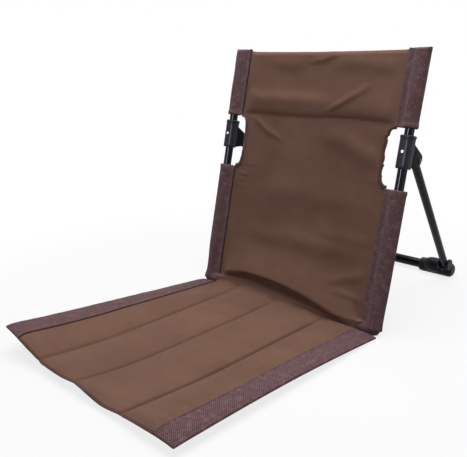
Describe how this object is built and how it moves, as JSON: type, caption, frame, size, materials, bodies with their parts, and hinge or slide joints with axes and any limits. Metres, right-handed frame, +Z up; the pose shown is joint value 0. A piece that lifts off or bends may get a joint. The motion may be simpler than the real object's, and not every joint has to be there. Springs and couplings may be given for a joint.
{
  "type": "folding camping chair",
  "caption": "Low folding ground chair: a padded seat mat, a fabric back on a tube frame hinged to it, and a folding rear prop.",
  "frame": {"origin": "centre of the footprint's box, on the ground", "axes": "+Z up, the sitter faces -Y, +X to the sitter's left"},
  "size_m": [0.48, 0.9108, 0.5238],
  "materials": {
    "gloss_black_tube": "gloss black paint",
    "satin_grey_tube": "satin dark grey paint",
    "charcoal_plastic": "moulded, matte",
    "rivet_steel": "plain steel",
    "brown_fabric": "smooth coated Oxford cloth",
    "woven_band": "coarse basket weave",
    "foam": "open-cell foam strip, hidden in the seat"
  },
  "bodies": {
    "seat": {"seat_band_left": "woven_band", "seat_band_right": "woven_band", "seat_top_cover": "brown_fabric", "seat_bottom_cover": "brown_fabric", "seat_foam_1": "foam", "seat_foam_2": "foam", "seat_foam_3": "foam", "seat_foam_4": "foam"},
    "back": {"upright_left": "gloss_black_tube", "frame_elbow_left": "charcoal_plastic", "upright_plug_left": "charcoal_plastic", "leg_bracket_left": "charcoal_plastic", "bracket_rivet_left": "rivet_steel", "pivot_pin_left": "rivet_steel", "lower_sleeve_left": "woven_band", "upper_sleeve_left": "woven_band", "cutout_binding_left": "woven_band", "upright_right": "gloss_black_tube", "frame_elbow_right": "charcoal_plastic", "upright_plug_right": "charcoal_plastic", "leg_bracket_right": "charcoal_plastic", "bracket_rivet_right": "rivet_steel", "pivot_pin_right": "rivet_steel", "lower_sleeve_right": "woven_band", "upper_sleeve_right": "woven_band", "cutout_binding_right": "woven_band", "frame_crossbar": "gloss_black_tube", "back_panel": "brown_fabric"},
    "rear_leg": {"leg_tube_left": "satin_grey_tube", "foot_elbow_left": "charcoal_plastic", "leg_tube_right": "satin_grey_tube", "foot_elbow_right": "charcoal_plastic", "rear_crossbar": "gloss_black_tube"}
  },
  "joints": [
    {"name": "back_fold", "type": "hinge", "parent": "seat", "child": "back", "pos_m": [0, 0.03895, 0.0095], "axis": [1, 0, 0], "range_deg": [0, 97]},
    {"name": "leg_fold", "type": "hinge", "parent": "back", "child": "rear_leg", "pos_m": [0, 0.16442, 0.31911], "axis": [-1, 0, 0], "range_deg": [0, 56]}
  ]
}
